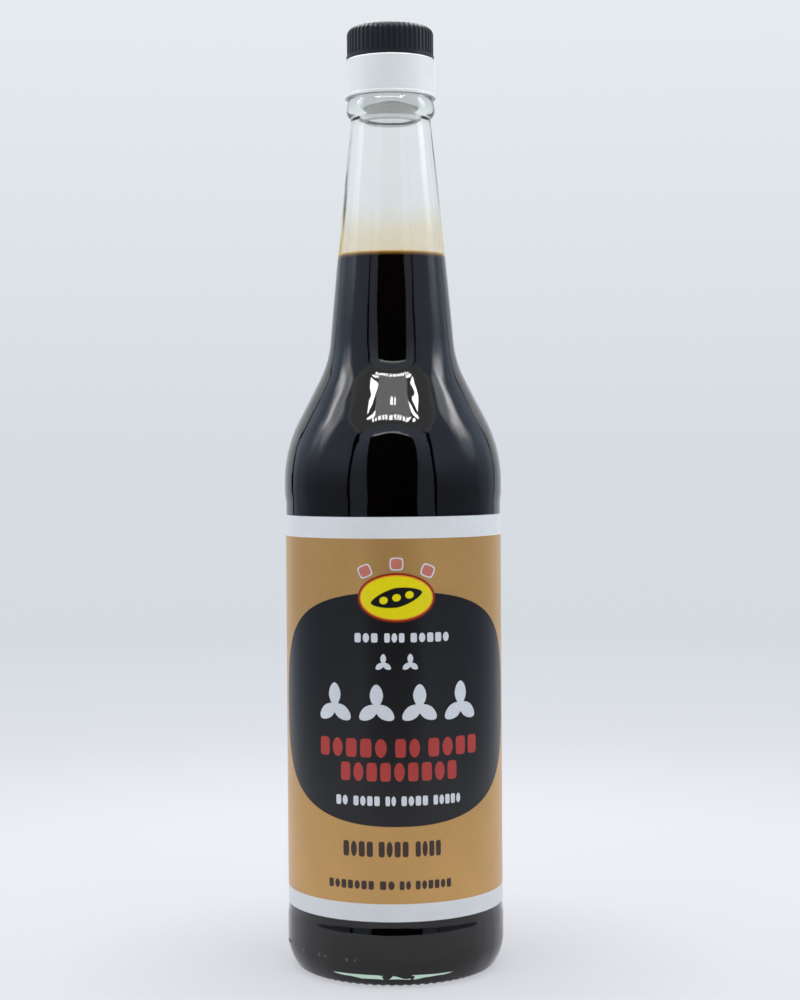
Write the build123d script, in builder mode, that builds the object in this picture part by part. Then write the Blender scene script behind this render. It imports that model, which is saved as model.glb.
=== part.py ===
"""A 600 ml soy sauce bottle: glass bottle, sauce, wrapped label, pourer and screw cap.

The origin is the centre of the base, on the surface that the bottle stands on.
+Z is up and the front of the label faces -Y. All sizes are in millimetres.
"""
from build123d import *
import os
from math import asin, cos, degrees, radians, sin, sqrt

# ---- Glass body: foot, heel, label panel ---------------------------------------------------
body_radius = 35.2  # the bands at heel and shoulder, which touch the next bottle in a row
body_wall = 2.8
foot_inset = 4.8  # from the side of the body in to the edge of the foot
foot_rounding = 2.4
heel_radius = 15.0
bearing_width = 3.4  # flat ring that the bottle stands on
punt_depth = 3.4  # hollow under the base
floor_thickness = 3.5
cavity_corner_radius = 6.8
heel_band_height = 6.2
heel_step_height = 3.8  # soft step from the heel band in to the label panel
panel_recess = 0.37
panel_height = 130.0
shoulder_step_height = 4.2
shoulder_band_height = 3.0

# ---- Glass shoulder and neck ---------------------------------------------------------------
shoulder_radius = 43.4
shoulder_slope = 27.5  # degrees from vertical, at the steepest part of the shoulder
neck_blend_radius = 33.7
neck_taper = 5.1  # degrees from vertical, at the foot of the neck
neck_spread = 7.07  # how far the neck widens from its top to its foot
neck_length = 71.8
neck_wall = 2.85  # at the top of the neck

# ---- Glass finish: the ring below the closure and the mouth --------------------------------
bore_radius = 10.1
finish_wall = 3.2
bead_overhang = 1.0  # beyond the finish
bead_upper_radius = 7.5
bead_lower_radius = 3.2
bead_fillet = 0.6
finish_height = 14.3  # from the widest part of the bead up to the mouth
lock_groove_depth = 0.5
lock_groove_height = 4.2
lock_groove_drop = 5.2  # from the mouth down to the groove
lip_rounding = 0.8

# ---- Mould dots on the heel ----------------------------------------------------------------
dot_pairs = 4
dot_pair_pitch = 17.7  # degrees round the heel
dot_spacing = 4.4  # degrees between the two dots of a pair
first_pair_angle = 246.5  # degrees from +X, left of the front
dot_radius = 0.6
dot_height = 0.35
dot_drop = 1.0  # below the top of the heel's curve

# ---- Contents and label --------------------------------------------------------------------
headspace = 43.6  # from the top of the neck down to the sauce
label_thickness = 0.12
label_margin_bottom = 1.2
label_margin_top = 3.3
label_gap = 5.0  # bare glass between the label's two ends, at the back

# ---- Pourer: collar outside the mouth, plug inside it, spout above it ----------------------
pourer_disc_thickness = 1.9
collar_wall = 1.1
collar_height = 12.3
collar_chamfer = 0.35
collar_lip = 0.15  # how far the bottom edge stands proud
collar_lip_height = 0.8
collar_clearance = 0.1  # between the collar and the glass
snap_ring_height = 1.2
snap_ring_clearance = 0.15
plug_clearance = 0.05
plug_wall = 1.2
plug_length = 20.1
plug_tip_length = 4.0
plug_tip_inset = 1.15
spout_wall = 2.7

# ---- Cap -----------------------------------------------------------------------------------
cap_wall = 2.05
cap_height = 10.25
cap_corner_radius = 2.2
cap_top_thickness = 1.6
cap_rim_proud = 0.2
cap_rim_height = 1.2
cap_bore_clearance = 0.4  # round the spout
cap_headroom = 0.3  # between the spout and the inside of the cap
seal_clearance = 0.1
seal_wall = 1.0
seal_depth = 2.6
rib_count = 51
rib_depth = 0.35
rib_gap_width = 1.0  # at the skin of the cap
rib_root_width = 0.3
rib_start = 0.3  # above the plain rim
rib_runout = 0.4  # how far the gaps run in over the rounded edge
rib_cutter_margin = 0.1  # the cutters stand this far out of the skin

# ---- Worked out from the sizes above -------------------------------------------------------
panel_radius = body_radius - panel_recess
cavity_radius = body_radius - body_wall
foot_radius = body_radius - foot_inset
punt_radius = foot_radius - bearing_width
heel_rise = sqrt((heel_radius - foot_rounding) ** 2 - (heel_radius - foot_inset) ** 2)
heel_top = foot_rounding + heel_rise
heel_angle = degrees(asin(heel_rise / (heel_radius - foot_rounding)))
heel_band_top = heel_top + heel_band_height
panel_bottom = heel_band_top + heel_step_height
panel_top = panel_bottom + panel_height
shoulder_band_bottom = panel_top + shoulder_step_height
shoulder_start = shoulder_band_bottom + shoulder_band_height
floor_top = punt_depth + floor_thickness
punt_arch_radius = (punt_radius**2 + punt_depth**2) / (2 * punt_depth)
floor_arch_radius = punt_arch_radius + floor_thickness
floor_reach = (cavity_radius - cavity_corner_radius) / (floor_arch_radius + cavity_corner_radius)
floor_turn = degrees(asin(floor_reach))

neck_top_radius = bore_radius + neck_wall
finish_radius = bore_radius + finish_wall
bead_radius = finish_radius + bead_overhang

slope_angle = radians(shoulder_slope)
taper_angle = radians(neck_taper)
shoulder_fall_in = shoulder_radius * (1 - cos(slope_angle))
neck_blend_fall_in = neck_blend_radius * (cos(taper_angle) - cos(slope_angle))
neck_foot_radius = neck_top_radius + neck_spread
slope_fall_in = body_radius - neck_foot_radius - shoulder_fall_in - neck_blend_fall_in
shoulder_run = slope_fall_in / sin(slope_angle)  # straight length of the slope
shoulder_rise = shoulder_radius * sin(slope_angle) + shoulder_run * cos(slope_angle)
neck_blend_rise = neck_blend_radius * (sin(slope_angle) - sin(taper_angle))
neck_top = shoulder_start + shoulder_rise + neck_blend_rise + neck_length

bead_lower_centre = bead_radius - bead_lower_radius
bead_upper_centre = bead_radius - bead_upper_radius
bead_fillet_reach = neck_top_radius + bead_fillet - bead_lower_centre
bead_fillet_rise = sqrt((bead_lower_radius + bead_fillet) ** 2 - bead_fillet_reach**2)
bead_fillet_angle = degrees(asin(bead_fillet_rise / (bead_lower_radius + bead_fillet)))
bead_middle = neck_top + bead_fillet_rise
bead_top = bead_middle + sqrt(bead_upper_radius**2 - (finish_radius - bead_upper_centre) ** 2)
mouth = bead_middle + finish_height
lock_groove_top = mouth - lock_groove_drop
lock_groove_bottom = lock_groove_top - lock_groove_height

liquid_level = neck_top - headspace
label_bottom = panel_bottom + label_margin_bottom
label_height = panel_height - label_margin_bottom - label_margin_top

collar_top = mouth + pourer_disc_thickness
collar_bottom = collar_top - collar_height
collar_bore_radius = finish_radius + collar_clearance
collar_radius = collar_bore_radius + collar_wall
snap_ring_radius = finish_radius - lock_groove_depth + snap_ring_clearance
snap_ring_middle = (lock_groove_top + lock_groove_bottom) / 2
snap_ring_slope = collar_bore_radius - snap_ring_radius
plug_radius = bore_radius - plug_clearance
plug_bore_radius = plug_radius - plug_wall
plug_bottom = collar_top - plug_length
spout_radius = plug_bore_radius + spout_wall
cap_top = collar_top + cap_height
spout_top = cap_top - cap_top_thickness - cap_headroom

cap_ceiling = cap_top - cap_top_thickness
cap_bore_radius = spout_radius + cap_bore_clearance
cap_radius = cap_bore_radius + cap_wall
seal_radius = plug_bore_radius - seal_clearance
rib_bottom = collar_top + cap_rim_height + rib_start
rib_root_radius = cap_radius - rib_depth
rib_root_corner = cap_corner_radius + rib_runout - rib_depth


def shoulder_and_neck(start, inset, top):
    """Draws the wall from the body up to the top of the neck, inset into the glass."""
    crown = JernArc(start, (0, 1), shoulder_radius - inset, shoulder_slope)
    slope = PolarLine(crown @ 1, shoulder_run, direction=crown % 1)
    blend_turn = neck_taper - shoulder_slope
    blend = JernArc(slope @ 1, slope % 1, neck_blend_radius + inset, blend_turn)
    TangentArc(blend @ 1, top, tangent=blend % 1)


def cavity_outline(top):
    """Draws half of the space inside the glass, from its floor up to the height top."""
    floor = JernArc((0, floor_top), (1, 0), floor_arch_radius, -floor_turn)
    corner = JernArc(floor @ 1, floor % 1, cavity_corner_radius, 90 + floor_turn)
    Line(corner @ 1, (cavity_radius, shoulder_start))
    shoulder_and_neck((cavity_radius, shoulder_start), body_wall, (bore_radius, neck_top))
    Polyline((bore_radius, neck_top), (bore_radius, top), (0, top), (0, floor_top))


def soft_step(start, end):
    """Draws an S-shaped step between two upright stretches of the wall."""
    Spline(start, end, tangents=((0, 1), (0, 1)))


# ---- Bottle --------------------------------------------------------------------------------
with BuildPart() as bottle:
    with BuildSketch(Plane.XZ):
        with BuildLine():
            TangentArc((0, punt_depth), (punt_radius, 0), tangent=(1, 0))
            Line((punt_radius, 0), (foot_radius, 0))
            foot = JernArc((foot_radius, 0), (1, 0), foot_rounding, 90 - heel_angle)
            heel = JernArc(foot @ 1, foot % 1, heel_radius, heel_angle)
            Line(heel @ 1, (body_radius, heel_band_top))
            soft_step((body_radius, heel_band_top), (panel_radius, panel_bottom))
            Line((panel_radius, panel_bottom), (panel_radius, panel_top))
            soft_step((panel_radius, panel_top), (body_radius, shoulder_band_bottom))
            Line((body_radius, shoulder_band_bottom), (body_radius, shoulder_start))
            neck_end = (neck_top_radius, neck_top)
            shoulder_and_neck((body_radius, shoulder_start), 0, neck_end)
            under_bead = JernArc(neck_end, (0, 1), bead_fillet, -bead_fillet_angle)
            lower_bead = JernArc(
                under_bead @ 1, under_bead % 1, bead_lower_radius, bead_fillet_angle
            )
            TangentArc(lower_bead @ 1, (finish_radius, bead_top), tangent=(0, 1))
            groove_radius = finish_radius - lock_groove_depth
            Polyline(
                (finish_radius, bead_top),
                (finish_radius, lock_groove_bottom),
                (groove_radius, lock_groove_bottom),
                (groove_radius, lock_groove_top),
                (finish_radius, lock_groove_top),
                (finish_radius, mouth),
                (0, mouth),
                (0, punt_depth),
            )
        make_face()
    revolve(axis=Axis.Z)
    with BuildSketch(Plane.XZ):
        with BuildLine():
            cavity_outline(mouth)
        make_face()
    revolve(axis=Axis.Z, mode=Mode.SUBTRACT)
    fillet(bottle.edges().group_by(Axis.Z)[-1], radius=lip_rounding)

    dot_sphere_radius = (dot_radius**2 + dot_height**2) / (2 * dot_height)
    dot_level = heel_top - dot_drop
    dot_skin_radius = body_radius - heel_radius + sqrt(heel_radius**2 - dot_drop**2)
    dot_centre_radius = dot_skin_radius + dot_height - dot_sphere_radius
    for pair in range(dot_pairs):
        for side in (-0.5, 0.5):
            angle = radians(first_pair_angle - pair * dot_pair_pitch + side * dot_spacing)
            x = dot_centre_radius * cos(angle)
            y = dot_centre_radius * sin(angle)
            with Locations((x, y, dot_level)):
                Sphere(dot_sphere_radius)

# ---- Sauce ---------------------------------------------------------------------------------
with BuildPart() as soy_sauce:
    with BuildSketch(Plane.XZ):
        with BuildLine():
            cavity_outline(mouth)
        make_face()
    revolve(axis=Axis.Z)
    split(bisect_by=Plane.XY.offset(liquid_level), keep=Keep.BOTTOM)

# ---- Label ---------------------------------------------------------------------------------
label_gap_angle = degrees(label_gap / panel_radius)
label_start_angle = 90 + label_gap_angle / 2
label_sweep = 360 - label_gap_angle

with BuildPart() as label:
    with BuildSketch(Plane.XY.offset(label_bottom)):
        with BuildLine():
            inner = CenterArc((0, 0), panel_radius, label_start_angle, label_sweep)
            outer_radius = panel_radius + label_thickness
            outer = CenterArc((0, 0), outer_radius, label_start_angle, label_sweep)
            Line(inner @ 0, outer @ 0)
            Line(inner @ 1, outer @ 1)
        make_face()
    extrude(amount=label_height)

# ---- Pourer --------------------------------------------------------------------------------
with BuildPart() as pourer:
    with BuildSketch(Plane.XZ):
        with BuildLine():
            tip_radius = plug_radius - plug_tip_inset
            collar_lip_top = collar_bottom + collar_lip_height
            Polyline(
                (tip_radius - plug_wall, plug_bottom),
                (tip_radius, plug_bottom),
                (plug_radius, plug_bottom + plug_tip_length),
                (plug_radius, mouth),
                (collar_bore_radius, mouth),
                (collar_bore_radius, snap_ring_middle + snap_ring_height / 2 + snap_ring_slope),
                (snap_ring_radius, snap_ring_middle + snap_ring_height / 2),
                (snap_ring_radius, snap_ring_middle - snap_ring_height / 2),
                (collar_bore_radius, snap_ring_middle - snap_ring_height / 2 - snap_ring_slope),
                (collar_bore_radius, collar_bottom),
                (collar_radius + collar_lip, collar_bottom),
                (collar_radius + collar_lip, collar_lip_top),
                (collar_radius, collar_lip_top + collar_lip),
                (collar_radius, collar_top - collar_chamfer),
                (collar_radius - collar_chamfer, collar_top),
                (spout_radius, collar_top),
                (spout_radius, spout_top),
                (plug_bore_radius, spout_top),
                (plug_bore_radius, plug_bottom + plug_tip_length),
                close=True,
            )
        make_face()
    revolve(axis=Axis.Z)

# ---- Cap -----------------------------------------------------------------------------------
with BuildPart() as rib_gaps:
    skin_margin_radius = cap_radius + rib_cutter_margin
    with BuildSketch(Plane.XZ):
        with BuildLine():
            root_start = (rib_root_radius, cap_top - rib_root_corner)
            Line((rib_root_radius, rib_bottom), root_start)
            root_corner = JernArc(root_start, (0, 1), rib_root_corner, 90)
            Polyline(
                root_corner @ 1,
                (skin_margin_radius, cap_top),
                (skin_margin_radius, rib_bottom),
                (rib_root_radius, rib_bottom),
            )
        make_face()
    revolve(axis=Axis.Z)
    with BuildSketch(Plane.XY.offset(rib_bottom)):
        with PolarLocations(0, rib_count):
            inner_radius = rib_root_radius - rib_root_corner
            Polygon(
                (inner_radius, -rib_root_width / 2),
                (rib_root_radius, -rib_root_width / 2),
                (cap_radius, -rib_gap_width / 2),
                (skin_margin_radius, -rib_gap_width / 2),
                (skin_margin_radius, rib_gap_width / 2),
                (cap_radius, rib_gap_width / 2),
                (rib_root_radius, rib_root_width / 2),
                (inner_radius, rib_root_width / 2),
                align=None,
            )
    extrude(amount=cap_top - rib_bottom, mode=Mode.INTERSECT)

with BuildPart() as cap:
    with BuildSketch(Plane.XZ):
        with BuildLine():
            rim_radius = cap_radius + cap_rim_proud
            corner_start = (cap_radius, cap_top - cap_corner_radius)
            Polyline(
                (cap_bore_radius, collar_top),
                (rim_radius, collar_top),
                (rim_radius, collar_top + cap_rim_height),
                (cap_radius, collar_top + cap_rim_height),
                corner_start,
            )
            corner = JernArc(corner_start, (0, 1), cap_corner_radius, 90)
            Polyline(
                corner @ 1,
                (0, cap_top),
                (0, cap_ceiling),
                (seal_radius - seal_wall, cap_ceiling),
                (seal_radius - seal_wall, cap_ceiling - seal_depth),
                (seal_radius, cap_ceiling - seal_depth),
                (seal_radius, cap_ceiling),
                (cap_bore_radius, cap_ceiling),
                (cap_bore_radius, collar_top),
            )
        make_face()
    revolve(axis=Axis.Z)
    add(rib_gaps.part, mode=Mode.SUBTRACT)

# ---- Labels and files ----------------------------------------------------------------------
os.makedirs("parts", exist_ok=True)

bottle.part.label = "bottle"
export_step(bottle.part, "parts/bottle.step")

soy_sauce.part.label = "soy_sauce"
export_step(soy_sauce.part, "parts/soy_sauce.step")

label.part.label = "label"
export_step(label.part, "parts/label.step")

pourer.part.label = "pourer"
export_step(pourer.part, "parts/pourer.step")

cap.part.label = "cap"
export_step(cap.part, "parts/cap.step")

print(f"height {cap_top:.1f} mm, sauce level {liquid_level:.1f} mm")
print(f"label {label_bottom:.1f} to {label_bottom + label_height:.1f} mm")
print(f"sauce {soy_sauce.part.volume / 1000:.0f} ml, glass {bottle.part.volume / 1000:.0f} ml")
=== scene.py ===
"""The looks of a soy sauce bottle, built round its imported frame.

The bottle stands on the origin with +Z up and the front of its label towards -Y.
The classes of the bottle, the sauce and the label hold millimetres; the finishes, the
studio and every mesh are in metres.
"""
from __future__ import annotations

import logging
import math
from collections.abc import Callable
from dataclasses import dataclass, field, replace
from enum import Enum

import bmesh
import bpy
from mathutils import Matrix, Vector


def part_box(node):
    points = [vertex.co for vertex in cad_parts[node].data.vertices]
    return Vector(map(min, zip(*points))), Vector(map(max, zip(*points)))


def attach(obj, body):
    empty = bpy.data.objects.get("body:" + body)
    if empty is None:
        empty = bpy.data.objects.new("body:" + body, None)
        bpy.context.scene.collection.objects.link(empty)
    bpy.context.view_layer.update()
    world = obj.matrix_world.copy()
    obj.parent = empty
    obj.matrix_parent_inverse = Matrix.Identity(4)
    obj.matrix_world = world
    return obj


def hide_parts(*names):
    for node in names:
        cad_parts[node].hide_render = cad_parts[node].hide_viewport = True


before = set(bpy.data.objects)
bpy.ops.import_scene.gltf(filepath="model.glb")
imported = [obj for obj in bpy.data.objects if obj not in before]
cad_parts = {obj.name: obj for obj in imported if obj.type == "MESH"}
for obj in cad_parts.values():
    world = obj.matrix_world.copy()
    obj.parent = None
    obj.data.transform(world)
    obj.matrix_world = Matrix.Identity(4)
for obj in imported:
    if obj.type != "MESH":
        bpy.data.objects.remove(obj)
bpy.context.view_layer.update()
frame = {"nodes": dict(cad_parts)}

log = logging.getLogger("soy_sauce_bottle")

MM = 0.001
ROOT = "root"

Socket = bpy.types.NodeSocket
Piece = bpy.types.Object
Mesh = bpy.types.Mesh
Point = tuple[float, float]
Corner = tuple[float, float, float]
Colour = tuple[float, float, float]
BLACK: Colour = (0.0, 0.0, 0.0)


def linear(*display: int) -> Colour:
    """Turns a display colour of 0 to 255 into the linear colour that shaders use."""
    parts = (value / 255 for value in display)
    return tuple(v / 12.92 if v <= 0.04045 else ((v + 0.055) / 1.055) ** 2.4 for v in parts)


# ---- Shader nodes ----


class Value:
    """A socket that carries a number, so that shader maths reads as Python."""

    def __init__(self, shop: NodeShop, socket: Socket) -> None:
        """Wraps a socket of one material's nodes."""
        self.shop = shop
        self.socket = socket

    def __add__(self, other: Value | float) -> Value:
        """Adds."""
        return self.shop.math("ADD", self, other)

    def __sub__(self, other: Value | float) -> Value:
        """Subtracts other from this."""
        return self.shop.math("SUBTRACT", self, other)

    def __rsub__(self, other: Value | float) -> Value:
        """Subtracts this from other."""
        return self.shop.math("SUBTRACT", other, self)

    def __mul__(self, other: Value | float) -> Value:
        """Multiplies."""
        return self.shop.math("MULTIPLY", self, other)

    __rmul__ = __mul__

    def __truediv__(self, other: Value | float) -> Value:
        """Divides this by other."""
        return self.shop.math("DIVIDE", self, other)

    def __pow__(self, other: Value | float) -> Value:
        """Raises this to a power."""
        return self.shop.math("POWER", self, other)

    def ramp(self, low: float, high: float, start: float = 0.0, end: float = 1.0) -> Value:
        """Maps low..high to start..end, held flat outside.

        Args:
            low: Where the ramp starts.
            high: Where the ramp ends.
            start: Result at and below low.
            end: Result at and above high.

        Returns:
            The mapped value.
        """
        sockets = {"Value": self, "From Min": low, "From Max": high, "To Min": start, "To Max": end}
        node = self.shop.node("ShaderNodeMapRange", {"clamp": True}, sockets)
        return Value(self.shop, node.outputs["Result"])


class NodeShop:
    """Makes the nodes of one material, or of the world."""

    def __init__(self, tree: bpy.types.NodeTree) -> None:
        """Takes a node tree and empties it."""
        self.tree = tree
        tree.nodes.clear()

    def node(
        self, kind: str, settings: dict | None = None, sockets: dict | None = None
    ) -> bpy.types.Node:
        """Adds a node.

        Args:
            kind: The node's type.
            settings: Attributes that are set first.
            sockets: Input names or numbers with a value or a link.

        Returns:
            The new node.
        """
        new = self.tree.nodes.new(kind)
        for key, value in (settings or {}).items():
            setattr(new, key, value)
        for key, value in (sockets or {}).items():
            source = value.socket if isinstance(value, Value) else value
            if isinstance(source, Socket):
                self.tree.links.new(source, new.inputs[key])
            else:
                new.inputs[key].default_value = source
        return new

    def math(self, operation: str, *values: Value | float) -> Value:
        """Adds a Math node for an operation on two values."""
        new = self.node("ShaderNodeMath", {"operation": operation}, dict(enumerate(values)))
        return Value(self, new.outputs[0])

    def place(self) -> Socket:
        """Gives the place on the piece, in metres."""
        return self.node("ShaderNodeTexCoord").outputs["Object"]

    def axes(self) -> tuple[Value, Value, Value]:
        """Gives the place on the piece as its x, y and z, in metres."""
        split = self.node("ShaderNodeSeparateXYZ", sockets={0: self.place()})
        return tuple(Value(self, split.outputs[i]) for i in range(3))

    def round_axes(self) -> tuple[Value, Value]:
        """Gives the distance from the upright axis and the height, in metres."""
        x, y, height = self.axes()
        return (x * x + y * y) ** 0.5, height

    def noise(self, scale: float, detail: float = 2.0, stretch: Point = (1.0, 1.0)) -> Value:
        """Gives a soft random field of 0 to 1.

        Args:
            scale: Bumps to the metre.
            detail: Octaves of finer bumps.
            stretch: How much the field is packed sideways and upwards.

        Returns:
            The field.
        """
        size = (stretch[0], stretch[0], stretch[1])
        mapped = self.node("ShaderNodeMapping", sockets={"Vector": self.place(), "Scale": size})
        sockets = {"Vector": mapped.outputs[0], "Scale": scale, "Detail": detail}
        return Value(self, self.node("ShaderNodeTexNoise", sockets=sockets).outputs["Fac"])

    @staticmethod
    def paint(colour: Colour | Socket) -> Socket | tuple:
        """Gives a colour or a colour link in the form that a node's input takes."""
        return colour if isinstance(colour, Socket) else (*colour, 1.0)

    def mix(
        self, factor: Value | float, first: Colour | Socket, second: Colour | Socket
    ) -> Socket:
        """Mixes two colours or colour links.

        Args:
            factor: Share of the second.
            first: Colour or link at factor 0.
            second: Colour or link at factor 1.

        Returns:
            The mixed colour's socket.
        """
        sockets = {0: factor, 6: self.paint(first), 7: self.paint(second)}
        return self.node("ShaderNodeMix", {"data_type": "RGBA"}, sockets).outputs[2]

    def bump(self, height: Value, distance: float, strength: float = 1.0) -> Socket:
        """Gives a normal from a height field.

        Args:
            height: The field, 0 to 1.
            distance: Depth of the relief in metres.
            strength: Share of the relief that shows.

        Returns:
            The normal's socket.
        """
        sockets = {"Height": height, "Distance": distance, "Strength": strength}
        return self.node("ShaderNodeBump", sockets=sockets).outputs["Normal"]

    def glow(self, colour: Colour | Socket, strength: Value) -> Socket:
        """Gives a shader that gives off light."""
        sockets = {"Color": self.paint(colour), "Strength": strength}
        return self.node("ShaderNodeEmission", sockets=sockets).outputs[0]

    def principled(self, sockets: dict, volume: Socket | None = None) -> None:
        """Ends the material in one Principled shader, with a volume where there is one."""
        shader = self.node("ShaderNodeBsdfPrincipled", sockets=sockets).outputs[0]
        self.output(shader, {} if volume is None else {"Volume": volume})

    def output(self, surface: Socket, more: dict | None = None) -> None:
        """Joins a surface shader, and other links by name, to the material's output."""
        self.node("ShaderNodeOutputMaterial", sockets={"Surface": surface, **(more or {})})


# ---- Finishes ----


class Slot(Enum):
    """Names of material slots, which this script does not use."""

    GLASS = "glass"
    SAUCE = "sauce"
    PAPER = "paper"
    COLLAR = "collar"
    CAP = "cap"


class Finish:
    """What every finish shares: a name, and a material that its own nodes fill."""

    name: str

    def material(self) -> bpy.types.Material:
        """Builds the finish as a node material.

        Returns:
            The material.
        """
        material = bpy.data.materials.new(self.name)
        material.use_nodes = True
        self.shade(NodeShop(material.node_tree))
        return material

    def shade(self, shop: NodeShop) -> None:
        """Fills in the nodes."""
        raise NotImplementedError(self.name)


@dataclass(frozen=True)
class ClearGlass(Finish):
    """Pressed clear glass with a faint green body colour."""

    name: str = "clear_glass"
    tint: Colour = (0.996, 0.998, 0.995)
    body: Colour = (0.45, 0.7, 0.5)
    density: float = 15.0
    index: float = 1.51
    ripple_depth: float = 0.35 * MM

    def shade(self, shop: NodeShop) -> None:
        """Fills in the glass: slow ripples, finer upright draw lines and a trace of haze.

        Args:
            shop: The material's nodes.
        """
        haze = shop.noise(260.0, 3.0)
        ripple = shop.noise(60.0, 2.0, (1.0, 0.4)) + shop.noise(150.0, 1.0, (1.0, 0.04)) * 0.4
        sockets = {
            "Base Color": (*self.tint, 1.0),
            "Roughness": haze.ramp(0.45, 0.8, 0.0, 0.02),
            "IOR": self.index,
            "Transmission Weight": 1.0,
            "Normal": shop.bump(ripple, self.ripple_depth),
        }
        body = {"Color": (*self.body, 1.0), "Density": self.density}
        shop.principled(sockets, shop.node("ShaderNodeVolumeAbsorption", sockets=body).outputs[0])


@dataclass(frozen=True)
class DarkSauce(Finish):
    """Soy sauce: black in depth, with painted brown, amber and glow where the layer is thin at the
    top, standing in for light through the thin layer.
    """

    level: float
    edge: float
    name: str = "dark_sauce"
    deep: Colour = (0.0022, 0.0012, 0.0012)
    swirl: Colour = (0.006, 0.0022, 0.0018)
    # brown, amber and lit are painted light: the colours and glow that light through the thin top
    # layer would give
    brown: Colour = (0.2, 0.085, 0.02)
    amber: Colour = (0.85, 0.52, 0.17)
    lit: Colour = (0.2, 0.12, 0.03)
    band: float = 1.6 * MM
    rim: Point = (0.1 * MM, 0.6 * MM)

    def shade(self, shop: NodeShop) -> None:
        """Fills in the sauce, with a painted glow at its thin edge alone, standing in for light
        through the glass.

        Args:
            shop: The material's nodes.
        """
        radius, height = shop.round_axes()
        inwards = self.edge - radius
        depth = self.level - height + inwards.ramp(*self.rim, 0.0, self.band)
        swirl = shop.noise(30.0, 2.0, (1.0, 0.5))
        deep = shop.mix(swirl.ramp(0.4, 0.7, 0.0, 0.35), self.deep, self.swirl)
        # painted brown and amber band near the level, standing in for light through the thin sauce
        lower = shop.mix(depth.ramp(self.band * 0.45, self.band, 1.0, 0.0), deep, self.brown)
        colour = shop.mix(depth.ramp(0.0, self.band * 0.5, 1.0, 0.0), lower, self.amber)
        # painted glow at the thin edge, though the sauce is no lamp
        glow = depth.ramp(0.0, self.band * 0.7, 1.0, 0.0)
        sockets = {
            "Base Color": colour,
            "Emission Color": shop.mix(glow, BLACK, self.lit),
            "Emission Strength": 1.0,
            "Roughness": swirl.ramp(0.3, 0.7, 0.25, 0.4),
            "Specular IOR Level": 0.0,
        }
        shop.principled(sockets)


@dataclass(frozen=True)
class SauceFilm(Finish):
    """The thin amber film that sauce leaves on the glass, fading upwards."""

    bottom: float
    top: float
    name: str = "sauce_film"
    colour: Colour = (0.95, 0.66, 0.1)
    # painted glow of the film, standing in for light through it
    lit: Colour = (0.3, 0.18, 0.0)
    strongest: float = 0.2
    even_height: float = 3.0 * MM
    run_height: float = 2.5 * MM

    def shade(self, shop: NodeShop) -> None:
        """Fills in the film, with an uneven upper edge and a painted glow.

        Args:
            shop: The material's nodes.
        """
        runs = shop.noise(90.0, 2.0, (1.0, 0.3)).ramp(0.3, 0.7, -self.run_height, self.run_height)
        even_top = self.bottom + self.even_height
        height = (shop.axes()[2] + runs).ramp(even_top, self.top, 1.0, 0.0)
        soft = height * height * (3.0 - 2.0 * height)
        sockets = {
            "Base Color": (*self.colour, 1.0),
            "Roughness": soft.ramp(0.0, 1.0, 0.5, 0.35),
            "Specular IOR Level": 0.0,
            # painted glow: the film gives off light of its own
            "Emission Color": (*self.lit, 1.0),
            "Emission Strength": 1.0,
            "Alpha": soft * self.strongest,
        }
        shop.principled(sockets)


@dataclass(frozen=True)
class Ink(Finish):
    """A printed or plain area of the coated label paper."""

    name: str
    colour: Colour
    roughness: float = 0.32
    metallic: float = 0.0
    coat: float = 0.15
    mottle: float = 0.05
    shine: float = 0.4
    fibre_depth: float = 0.012 * MM

    def shade(self, shop: NodeShop) -> None:
        """Fills in the ink with paper fibre, faint mottle and a thin varnish.

        Args:
            shop: The material's nodes.
        """
        fibre = shop.noise(2600.0, 3.0, (1.0, 0.4))
        cloud = shop.noise(70.0)
        shade = tuple(c * (1 - self.mottle) for c in self.colour)
        light = tuple(min(1.0, c * (1 + self.mottle)) for c in self.colour)
        sockets = {
            "Base Color": shop.mix((fibre * 0.5 + cloud * 0.5).ramp(0.35, 0.65), shade, light),
            "Roughness": fibre.ramp(0.3, 0.7, self.roughness - 0.04, self.roughness + 0.06),
            "Metallic": self.metallic,
            "Coat Weight": self.coat,
            "Coat Roughness": 0.12,
            "Specular IOR Level": self.shine,
            "Normal": shop.bump(fibre, self.fibre_depth, 0.6),
        }
        shop.principled(sockets)


@dataclass(frozen=True)
class MouldedPlastic(Finish):
    """Moulded plastic with fine grain."""

    name: str
    colour: Colour
    roughness: float
    shine: float = 0.5
    grain_depth: float = 0.02 * MM

    def shade(self, shop: NodeShop) -> None:
        """Fills in the plastic, slightly clouded.

        Args:
            shop: The material's nodes.
        """
        grain = shop.noise(1800.0)
        cloud = shop.noise(90.0)
        shade = tuple(c * 0.9 for c in self.colour)
        sockets = {
            "Base Color": shop.mix(cloud.ramp(0.35, 0.65), shade, self.colour),
            "Roughness": grain.ramp(0.3, 0.7, self.roughness - 0.05, self.roughness + 0.07),
            "Specular IOR Level": self.shine,
            "Normal": shop.bump(grain, self.grain_depth, 0.5),
        }
        shop.principled(sockets)


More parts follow.
